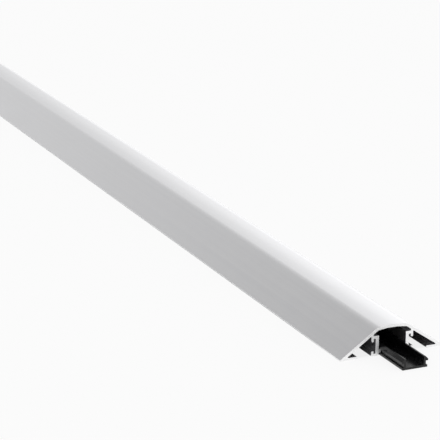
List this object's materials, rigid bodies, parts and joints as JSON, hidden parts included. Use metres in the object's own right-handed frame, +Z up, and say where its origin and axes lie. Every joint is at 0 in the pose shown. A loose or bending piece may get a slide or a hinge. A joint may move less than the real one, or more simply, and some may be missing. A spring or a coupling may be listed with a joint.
{
  "type": "floor cable protector",
  "caption": "Low aluminium floor cable cover with sloping sides and an arched crown, over a snap-in black plastic base channel that stands out of its end.",
  "frame": {"origin": "on the floor, at the middle of the whole: midway along its length, the base's reach included, and midway across", "axes": "+X along the stock, towards the end where the base channel stands out of the cover; +Y across; +Z up from the floor"},
  "size_m": [1.03, 0.075, 0.0199],
  "materials": {
    "anodised_aluminium": "satin silver anodised, with bright saw-cut ends",
    "black_plastic": "extruded black plastic, slightly glossy"
  },
  "bodies": {
    "root": {"cover_profile": "anodised_aluminium", "base_channel": "black_plastic"}
  },
  "joints": []
}
